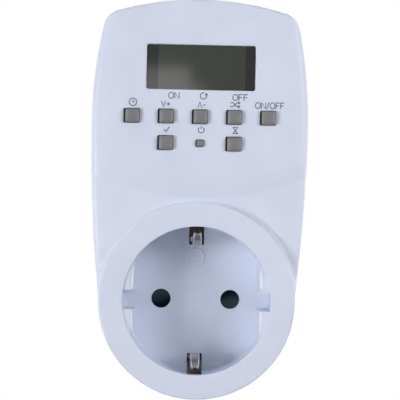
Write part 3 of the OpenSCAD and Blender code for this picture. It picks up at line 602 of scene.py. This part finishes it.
def front_shell():
    """The front housing's face, with walls to the seam, the lens, the keys and the cup."""
    places, _, triangles = delaunay_2d_cdt(*front_lines(), [], 0, 1e-5)[:3]
    bm = bmesh.new()
    verts = [bm.verts.new(at(x, front_p(x, z), z)) for x, z in places]
    for t in triangles:
        if inside(sum(places[i][0] for i in t) / 3, sum(places[i][1] for i in t) / 3):
            bm.faces.new([verts[i] for i in t])
    bmesh.ops.delete(bm, geom=[q for q in bm.verts if not q.link_faces], context="VERTS")
    face_forward(bm)

    groups = {"outer": [], "holes": [], "well": []}
    for e in bm.edges:
        if not e.is_boundary:
            continue
        m = (e.verts[0].co + e.verts[1].co) / 2 / MM
        if math.hypot(m.x, m.z) < WELL + NEAR_WELL:
            groups["well"].append(e)
        elif any(from_rect(m.x, m.z, rect, r) < NEAR_HOLE for rect, r, _ in HOLES):
            groups["holes"].append(e)
        else:
            groups["outer"].append(e)

    def extrude(edges, level=None, inward=0.0, sharp=False):
        """Draws edges back to a level, or by WALL_START without one, and gives the new ends."""
        new = bmesh.ops.extrude_edge_only(bm, edges=edges)["geom"]
        for q in new:
            if isinstance(q, bmesh.types.BMVert):
                q.co.y = q.co.y + WALL_START * MM if level is None else -level * MM
                if inward:
                    nx, nz = outward(q.co.x / MM, q.co.z / MM)
                    q.co.x -= inward * nx * MM
                    q.co.z -= inward * nz * MM
        ends = [e for e in new if isinstance(e, bmesh.types.BMEdge)]
        for e in ends if sharp else ():
            e.smooth = False
        return ends

    extrude(groups["holes"], PANEL_BACK)
    extrude(groups["well"], LIP_P)
    low = extrude(extrude(groups["outer"]), SEAM + GROOVE, sharp=True)
    foot = extrude(low, SEAM + SEAM_GAP, GROOVE, sharp=True)
    extrude(foot, SEAM + SEAM_GAP, LEDGE)
    face_forward(bm)
    shell = finish_mesh("front_shell", bm, "case", [MATS["housing_white"]])
    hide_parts("front_housing")


# ---------------------------------------------------------------- keys

CAP_BACK = 53.0
CAP_EDGE = 0.12
CAP_CORNER = 0.3
FLANGE = 0.95  # how far a key's flange goes beyond its cap
FLANGE_P = (53.5, 52.7)


def key_piece(node, place, sides, stand, reach, crown):
    """A cap that falls by crown towards its edges, over reach, with its flange under the panel."""
    bm = bmesh.new()
    cx, cz, w, h = rect_at(place, sides)
    steps = [(0.0, CAP_BACK)]
    for d in (0.0, 0.02, 0.06, CAP_EDGE,
              *(CAP_EDGE + (reach - CAP_EDGE) * k / 5 for k in range(1, 6))):
        fall = crown * (1 - d / reach) ** 2 + rounding(d, CAP_EDGE)
        steps.append((d, PANEL_P + stand - fall))
    rows = []
    for d, p in steps:
        ring = rect_loop((cx, cz, w - 2 * d, h - 2 * d), max(CAP_CORNER - d, 0.04))
        rows.append([bm.verts.new(at(x, p, z)) for x, z in ring])
    for a, b in zip(rows, rows[1:]):
        for i in range(len(a)):
            j = (i + 1) % len(a)
            bm.faces.new((a[i], a[j], b[j], b[i]))
    bm.faces.new(rows[0])
    bm.faces.new(rows[-1])
    w, h = w / 2 + FLANGE, h / 2 + FLANGE
    rounded_box(bm, (cx - w, -FLANGE_P[0], cz - h), (cx + w, -FLANGE_P[1], cz + h), 0.1)
    bmesh.ops.recalc_face_normals(bm, faces=bm.faces)
    cap = finish_mesh(node + "_cap", bm, node + "_body", [MATS["key_grey"]])
    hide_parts(node)
    shade(cap)


# ---------------------------------------------------------------- display

VIEW = (-11.45, 11.85)  # left and right end of the clear part, between dark margins
LENS_GAP = 0.05
LENS_BACK = 53.1
LENS_FLANGE = (1.75, 2.15)  # how far the lens goes beyond the window, behind the panel
LENS_FLANGE_P = (53.6, 52.6)


def display_window():
    bm = bmesh.new()
    cx, cz, w, h = WINDOW
    w, h = w / 2 - LENS_GAP, h / 2 - LENS_GAP
    rounded_box(bm, (cx - w, -LENS_P, cz - h), (cx + w, -LENS_BACK, cz + h))
    for x in VIEW:
        bmesh.ops.bisect_plane(bm, geom=bm.verts[:] + bm.edges[:] + bm.faces[:],
                               plane_co=(x * MM, 0, 0), plane_no=(1, 0, 0))
    for f in bm.faces:
        c = f.calc_center_median() / MM
        f.material_index = 0 if VIEW[0] < c.x < VIEW[1] else 1
    w, h = w + LENS_FLANGE[0], h + LENS_FLANGE[1]
    rounded_box(bm, (cx - w, -LENS_FLANGE_P[0], cz - h), (cx + w, -LENS_FLANGE_P[1], cz + h))
    lens = finish_mesh("display_window", bm, "case", [MATS["lens"], MATS["margin"]])
    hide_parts("display_lens")
    shade(lens)


# ---------------------------------------------------------------- printed marks

INK_WIDTH = 0.25
INK_LIFT = 0.012

# Strokes of letters and signs in a square of side 1
LETTERS = {
    "N": [[(0, 0), (0, 1), (1, 0), (1, 1)]],
    "F": [[(0, 0), (0, 1), (1, 1)], [(0, 0.52), (0.85, 0.52)]],
    "/": [[(0, -0.0625), (1, 1.0625)]],
    "down": [[(0, 1), (0.5, 0), (1, 1)]],
    "up": [[(0, 0), (0.5, 1), (1, 0)]],
    "+": [[(0, 0.5), (1, 0.5)]],
    "-": [[(0, 0.5), (1, 0.5)]],
}
# Letters with their widths, then left and right end, foot, height and gap
WORDS = (
    ((("O", 1.15), ("N", 1.0)), -8.55, -5.72, 53.78, 1.6, 0.32),
    ((("O", 1.2), ("F", 0.9), ("F", 0.9)), 8.6, 12.6, 53.56, 1.6, 0.32),
    ((("O", 1.2), ("N", 1.0), ("/", 0.55), ("O", 1.2), ("F", 0.85), ("F", 0.85)),
     14.7, 22.35, 51.54, 1.6, 0.3),
    ((("down", 1.15), ("+", 0.95)), -10.4, -8.1, 51.5, 1.5, 0.32),
    ((("up", 1.15), ("-", 0.8)), -0.66, 1.40, 51.46, 1.45, 0.32),
)


def with_sides(points, closed):
    """Each point of a line, its direction sideways, and how much wider the line's bend is."""
    pts = [Vector(q) for q in points]
    n = len(pts)
    ways = [(pts[(i + 1) % n] - pts[i]).normalized() for i in range(n if closed else n - 1)]
    out = []
    for i, q in enumerate(pts):
        a = ways[i - 1] if closed or i else ways[0]
        b = ways[i] if closed or i < n - 1 else ways[-1]
        t = (a + b).normalized()
        out.append((q, Vector((-t.y, t.x)), 1 / max(math.sqrt((1 + a.dot(b)) / 2), 0.5)))
    return out


def stroke(bm, points, width, surface, closed=False):
    """A flat line of even width that lies on a surface."""
    rows = []
    for q, side, wider in with_sides(points, closed):
        ends = [q + side * s * width / 2 * wider for s in (1, -1)]
        rows.append([bm.verts.new(at(e.x, surface(e.x, e.y), e.y)) for e in ends])
    strips(bm, rows, closed)


def ellipse(cx, cz, rx, rz, n):
    """An ellipse as n points."""
    return [(cx + rx * math.cos(2 * math.pi * i / n), cz + rz * math.sin(2 * math.pi * i / n))
            for i in range(n)]


def letter(c, x, z, w, h):
    """Strokes of one plain letter or sign, as (points, closed)."""
    if c == "O":
        return [(ellipse(x + w / 2, z + h / 2, w / 2, h / 2, 28), True)]
    out = [([(x + w * u, z + h * v) for u, v in run], False) for run in LETTERS[c]]
    if c == "+":
        out.append(([(x + w / 2, z + h / 2 - w / 2), (x + w / 2, z + h / 2 + w / 2)], False))
    return out


def word(signs, x0, x1, z, h, gap):
    """Spreads letters of given relative widths between two places."""
    unit = (x1 - x0 - gap * (len(signs) - 1)) / sum(w for _, w in signs)
    out, x = [], x0
    for c, w in signs:
        out += letter(c, x, z, w * unit, h)
        x += w * unit + gap
    return out


def arrow_head(tip, direction, size):
    d = Vector(direction).normalized()
    s = Vector((-d.y, d.x))
    t = Vector(tip)
    return [tuple(t - d * size + s * size * 0.8), tuple(t), tuple(t - d * size - s * size * 0.8)]


def pictograms():
    """Plain signs for the keys, as (points, closed)."""
    out = []
    # clock
    cx, cz, r = -18.0, 52.62, 1.0
    out.append((ellipse(cx, cz, r, r, 32), True))
    out.append(([(cx, cz + 0.62), (cx, cz), (cx + 0.5, cz)], False))
    # turning arrow
    cx, cz, r = 0.75, 54.6, 0.85
    out.append((on_arc(cx, cz, r, math.radians(70), math.radians(385), 22), False))
    out.append((arrow_head((cx + r * 0.98, cz + 0.62), (0.25, 1), 0.45), False))
    # crossing arrows
    x, z, w = 8.0, 52.42, 2.5
    for s in (-0.5, 0.5):
        out.append(([(x, z + s), (x + 0.7, z + s), (x + 1.7, z - s), (x + w, z - s)], False))
        out.append((arrow_head((x + w, z - s), (1, 0), 0.4), False))
    # tick
    out.append(([(-9.6, 45.5), (-9.05, 44.85), (-8.1, 46.2)], False))
    # open ring with a bar, for restart
    cx, cz, r = 0.35, 45.5, 0.8
    out.append((on_arc(cx, cz, r, math.radians(130), math.radians(410), 22), False))
    out.append(([(cx, cz + 0.2), (cx, cz + 1.05)], False))
    # hourglass
    x, z, w, h = 8.85, 44.7, 1.2, 1.65
    out.append(([(x, z), (x + w, z), (x, z + h), (x + w, z + h)], True))
    return out


def legends():
    bm = bmesh.new()
    marks = [mark for text in WORDS for mark in word(*text)] + pictograms()
    for points, closed in marks:
        stroke(bm, points, INK_WIDTH, lambda x, z: front_p(x, z) + INK_LIFT, closed)
    finish_mesh("legends", bm, "case", [MATS["legend"]], False)


# ---------------------------------------------------------------- raised marks on the floor

EARTH_MARK = (-0.35, 11.35)
MARK_R, MARK_RIM = 2.46, 0.42  # its circle, and that one's width and height
MARK_LINE = 0.38  # width and height of the lines in it
MARK_STEM = (1.9, 0.1)
MARK_BARS, MARK_STEP = (1.35, 0.9, 0.45), 0.62  # half lengths, and how far apart they are
MIDDLE_R, MIDDLE_WIDTH, MIDDLE_HEIGHT = 1.75, 0.22, 0.05
MARK_SUNK = 0.02  # how far the marks' edges lie in the floor


def raised_line(bm, points, width, height, closed=False):
    """A low raised line with a round top on the well's floor."""
    rows = []
    for q, side, _ in with_sides(points, closed):
        row = []
        for s in (-1, -0.5, 0, 0.5, 1):
            e = q + side * s * width / 2
            lift = height * math.sqrt(1 - s * s)
            row.append(bm.verts.new(at(e.x, FLOOR_P - MARK_SUNK + lift, e.y)))
        rows.append(row)
    strips(bm, rows, closed)


def floor_marks():
    """The earth sign in its circle, and a fine circle at the middle."""
    bm = bmesh.new()
    cx, cz = EARTH_MARK
    raised_line(bm, ellipse(cx, cz, MARK_R, MARK_R, 48), MARK_RIM, MARK_RIM, True)
    raised_line(bm, [(cx, cz + z) for z in MARK_STEM], MARK_LINE, MARK_LINE)
    for k, half in enumerate(MARK_BARS):
        z = cz + MARK_STEM[1] - MARK_STEP * k
        raised_line(bm, [(cx - half, z), (cx + half, z)], MARK_LINE, MARK_LINE)
    middle = ellipse(0, 0, MIDDLE_R, MIDDLE_R, 40)
    raised_line(bm, middle, MIDDLE_WIDTH, MIDDLE_HEIGHT, True)
    # the marks take the lighter white, a painted highlight
    finish_mesh("floor_marks", bm, "case", [MATS["painted_highlight_white"]])


# ---------------------------------------------------------------- earth contacts

# A spring's middle line, as distances from the axis and depths: root, crown and tip
ROOT_R, CROWN_R, TIP_R = 16.5, 14.85, 18.1
LOW_P, ROOT_P, CROWN_P, TIP_P = 38.0, 39.0, 46.0, 52.2
SPRING_SIDE = 1.09  # from the middle line to the rolled edge
EDGE_WIRE = 0.14
EDGE_LOW = 0.27  # how far the rolled edge lies inside the middle line
NOTCH, NOTCH_P, NOTCH_RUN = 0.38, 50.4, 1.7  # how far, from where and over what the edge runs in
SLOT_BACK = (2.7, 36.3, 35.6)  # half width, front and back
SLOT_BACK_Z = (17.0, 21.2)


def earth_line():
    """Middle line of an earth spring in the socket, as (distance from the axis, depth)."""
    line = [(ROOT_R, LOW_P)]
    for i in range(6):
        part = (1 - math.cos(math.pi * i / 5)) / 2
        line.append((ROOT_R + (CROWN_R - ROOT_R) * part, ROOT_P + (CROWN_P - ROOT_P) * i / 5))
    for i in range(1, 6):
        part = 1 - math.cos(math.pi / 2 * i / 5)
        line.append((CROWN_R + (TIP_R - CROWN_R) * part, CROWN_P + (TIP_P - CROWN_P) * i / 5))
    return line


def earth_edges(name, up):
    """The rolled edges of an earth spring, which run in to its notched tip."""
    bm = bmesh.new()
    for side in (-1, 1):
        points = []
        for r, p in earth_line():
            x = SPRING_SIDE - NOTCH * smooth((p - NOTCH_P) / NOTCH_RUN)
            points.append((side * x, -p, up * (r - EDGE_LOW)))
        tube(bm, points, EDGE_WIRE)
    bmesh.ops.recalc_face_normals(bm, faces=bm.faces)
    finish_mesh(name, bm, "case", [MATS["nickel_edge"]])


def slot_back(name, up, look):
    """The plastic behind an earth spring, seen through the floor's slot."""
    bm = bmesh.new()
    x, front, back = SLOT_BACK
    low, high = sorted(up * z for z in SLOT_BACK_Z)
    rounded_box(bm, (-x, -front, low), (x, -back, high), 0.15, 2)
    finish_mesh(name, bm, "case", [MATS[look]])


# ---------------------------------------------------------------- guide blocks

CORNERS = [(side, up) for side in (-1, 1) for up in (-1, 1)]
RIB_X, RIB_P, RIB_R = 17.2, 55.5, 0.36
RIB_Z = (2.62, 4.0, 6.0, 8.0, 9.2)
FILLET_TURNS = (7.4, 31.5)  # a fillet's ends, in degrees from the side
FILLET_ROWS = 24
FILLET_WIDTH, FILLET_LESS = 0.7, 0.4  # its width, and how much less that is at its end
FILLET_NARROWS = 14  # the row from which it narrows
FILLET_R = WELL + 0.02
FILLET_P, FILLET_DROP = RING_P - WELL_EDGE + 0.05, 0.42


def guide_ribs():
    """Round ribs along the guide blocks' chamfers."""
    bm = bmesh.new()
    for side, up in CORNERS:
        tube(bm, [(side * RIB_X, -RIB_P, up * z) for z in RIB_Z], RIB_R, 12)
    bmesh.ops.recalc_face_normals(bm, faces=bm.faces)
    # the ribs take the lighter white, a painted highlight
    finish_mesh("guide_ribs", bm, "case", [MATS["painted_highlight_white"]])


def guide_fillets():
    """Fillets from the guide blocks to the ring, which narrow towards the blocks' ends."""
    bm = bmesh.new()
    first, last = FILLET_TURNS
    for side, up in CORNERS:
        rows = []
        for k in range(FILLET_ROWS + 1):
            a = math.radians(first + (last - first) * k / FILLET_ROWS)
            wide = FILLET_WIDTH - FILLET_LESS * smooth(
                (k - FILLET_NARROWS) / (FILLET_ROWS - FILLET_NARROWS))
            row = []
            for t in (math.radians(15 * i) for i in range(7)):
                r = FILLET_R - wide * (1 - math.cos(t))
                p = FILLET_P - FILLET_DROP * math.sin(t)
                row.append(bm.verts.new(at(side * r * math.cos(a), p, up * r * math.sin(a))))
            rows.append(row)
        strips(bm, rows)
    finish_mesh("guide_fillets", bm, "case", [MATS["housing_white"]])


# ---------------------------------------------------------------- shutter spring

def shutter_coil():
    """The shutter's spring, as a shaded copy of its solid."""
    solid = NODES["shutter_spring"]
    bm = bmesh.new()
    bm.from_mesh(solid.data)
    bm.transform(solid.matrix_world)
    coil = finish_mesh("shutter_coil", bm, None,
                       [MATS["spring_steel"]])
    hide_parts("shutter_spring")
    shade(coil)
    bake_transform(coil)


# ---------------------------------------------------------------- building

front_shell()
for key, spot in KEY_PLACES.items():
    if key == "key_reset":
        key_piece(key, spot, SMALL_CAP, stand=0.9, reach=0.75, crown=0.24)
    else:
        key_piece(key, spot, CAP, stand=1.4, reach=1.5, crown=0.38)
display_window()
legends()
floor_marks()
earth_edges("earth_edges_top", 1)
earth_edges("earth_edges_bottom", -1)
slot_back("slot_back_top", 1, "carrier_brown")
# the bottom slot's back takes the lighter brown, painted light
slot_back("slot_back_bottom", -1, "painted_lit_brown")
guide_ribs()
guide_fillets()
shutter_coil()


# ---------------------------------------------------------------- camera

PHOTO_WIDTH = 400
FOCAL = 1743.2  # the camera's focal length in pixels of the photo
CAMERA_AT = (-8.336, -519.53, 13.97)
CAMERA_TURN = (1.0785, 1.5847, 1.1606)  # yaw, pitch and roll in degrees


def camera():
    """The photo's view, fitted to places measured in it."""
    data = bpy.data.cameras.new("camera")
    data.lens = FOCAL / PHOTO_WIDTH * data.sensor_width
    data.clip_start, data.clip_end = 0.02, 20
    yaw, pitch, roll = (math.radians(a) for a in CAMERA_TURN)
    ahead = Vector((math.sin(yaw) * math.cos(pitch), math.cos(yaw) * math.cos(pitch),
                    math.sin(pitch)))
    right = Vector((math.cos(yaw), -math.sin(yaw), 0))
    up = right.cross(ahead)
    side = right * math.cos(roll) + up * math.sin(roll)
    above = -right * math.sin(roll) + up * math.cos(roll)
    turn = Matrix((side, above, -ahead)).transposed().to_4x4()
    turn.translation = Vector(CAMERA_AT) * MM
    cam = add_object("camera", data)
    cam.matrix_world = turn
    bpy.context.scene.camera = cam


# ---------------------------------------------------------------- lights and ground, in metres

DAYLIGHT = (0.925, 0.925, 0.975)
CENTRE = Vector((0, -0.045, 0.03))
# Name, place from the centre, size and power
FRONT_LAMPS = (
    ("left", (-0.505, -0.479, -0.076), (0.25, 0.36), 3.10),
    ("right", (0.296, -0.258, 0.076), (0.17, 0.20), 0.87),
    ("top", (-0.266, -0.097, 0.283), (0.12, 0.14), 0.25),
)
BACK_LAMP = ("back", (-0.25, 0.75, 0.25), (0.5, 0.5), 1.4)
# Lamps round the outline: name, turn in degrees, distance, part of it towards the wall, power
RIM_LAMPS = (
    ("rim_left", 180, 0.80, 0.259, 0.75),
    ("rim_right", 0, 0.80, 0.259, 1.0),
    ("rim_upper", 45, 0.80, 0.259, 1.0),
    ("rim_top", 90, 0.80, -0.1, 1.0),
    ("rim_lower", 315, 0.42, 0.259, 0.15),
)
RIM_OUT = 0.966  # part of the distance that goes outwards
RIM_SIZE = 0.375  # a rim lamp's size for each metre of distance
FLOOR_Z = -0.45
FLOOR_SIZE = 2.4
FLOOR_GLOW = 0.45
CARD_Y = -653.4


def area_light(name, way, size, power):
    """A lamp at a way from the centre, which it shines on."""
    data = bpy.data.lights.new(name, "AREA")
    data.shape = "RECTANGLE"
    data.size, data.size_y = size
    data.energy = power
    data.color = DAYLIGHT
    obj = add_object(name, data)
    obj.location = CENTRE + way
    obj.rotation_euler = (CENTRE - obj.location).to_track_quat("-Z", "Y").to_euler()


def lamps():
    for name, way, size, power in FRONT_LAMPS:
        area_light(name, Vector(way), size, power)
    for name, turn, distance, back, power in RIM_LAMPS:
        turn = math.radians(turn)
        way = Vector((RIM_OUT * math.cos(turn), back, RIM_OUT * math.sin(turn))) * distance
        area_light(name, way, (RIM_SIZE * distance, RIM_SIZE * distance), power)
    name, way, size, power = BACK_LAMP
    area_light(name, Vector(way), size, power)


def seen_directly(tree):
    """1 for camera, glossy and transmission rays, 0 for the others."""
    path = tree.nodes.new("ShaderNodeLightPath")
    seen = path.outputs["Is Camera Ray"]
    for ray in ("Is Glossy Ray", "Is Transmission Ray"):
        either = tree.nodes.new("ShaderNodeMath")
        either.operation = "MAXIMUM"
        tree.links.new(seen, either.inputs[0])
        tree.links.new(path.outputs[ray], either.inputs[1])
        seen = either.outputs[0]
    return seen


def world():
    """White for the rays of seen_directly, and no light of its own on dull surfaces."""
    w = bpy.data.worlds.new("world")
    bpy.context.scene.world = w
    w.use_nodes = True
    tree = w.node_tree
    mix = tree.nodes.new("ShaderNodeMix")
    mix.data_type = "RGBA"
    mix.inputs["A"].default_value = (0, 0, 0, 1)
    mix.inputs["B"].default_value = (1, 1, 1, 1)
    tree.links.new(seen_directly(tree), mix.inputs["Factor"])
    tree.links.new(mix.outputs["Result"], tree.nodes["Background"].inputs["Color"])


def ground():
    """A pale floor, with a glow where it is seen directly."""
    bpy.ops.mesh.primitive_plane_add(size=FLOOR_SIZE, location=(0, 0, FLOOR_Z))
    obj = bpy.context.object
    obj.name = "floor"
    mat = bpy.data.materials.new("floor")
    mat.use_nodes = True
    tree = mat.node_tree
    bsdf = tree.nodes["Principled BSDF"]
    bsdf.inputs["Base Color"].default_value = (0.8, 0.8, 0.8, 1)
    bsdf.inputs["Roughness"].default_value = 0.9
    glow = tree.nodes.new("ShaderNodeEmission")
    glow.inputs["Color"].default_value = (1, 1, 1, 1)
    scale = tree.nodes.new("ShaderNodeMath")
    scale.operation = "MULTIPLY"
    scale.inputs[1].default_value = FLOOR_GLOW
    both = tree.nodes.new("ShaderNodeAddShader")
    tree.links.new(seen_directly(tree), scale.inputs[0])
    tree.links.new(scale.outputs[0], glow.inputs["Strength"])
    tree.links.new(bsdf.outputs[0], both.inputs[0])
    tree.links.new(glow.outputs[0], both.inputs[1])
    tree.links.new(both.outputs[0], tree.nodes["Material Output"].inputs["Surface"])
    obj.data.materials.append(mat)


def window_card(name, x, z, strength):
    """A pale panel in front of the object that only its gloss shows. x and z are in mm."""
    mat = bpy.data.materials.new(name)
    mat.use_nodes = True
    tree = mat.node_tree
    tree.nodes.remove(tree.nodes["Principled BSDF"])
    glow = tree.nodes.new("ShaderNodeEmission")
    glow.inputs["Strength"].default_value = strength
    tree.links.new(glow.outputs[0], tree.nodes["Material Output"].inputs["Surface"])
    bm = bmesh.new()
    bm.faces.new([bm.verts.new(Vector((x[i], CARD_Y, z[j])) * MM)
                  for i, j in ((0, 0), (0, 1), (1, 1), (1, 0))])
    obj = add_mesh(name, bm, [mat])
    obj.visible_camera = False
    obj.visible_diffuse = False
    obj.visible_transmission = False
    obj.visible_shadow = False


camera()
lamps()
world()
ground()
window_card("card_left", (-60, 4.3), (70, 124), 3.6)
window_card("card_right", (4.3, 13.5), (70, 114), 2.3)
bpy.context.scene.view_settings.view_transform = "Standard"
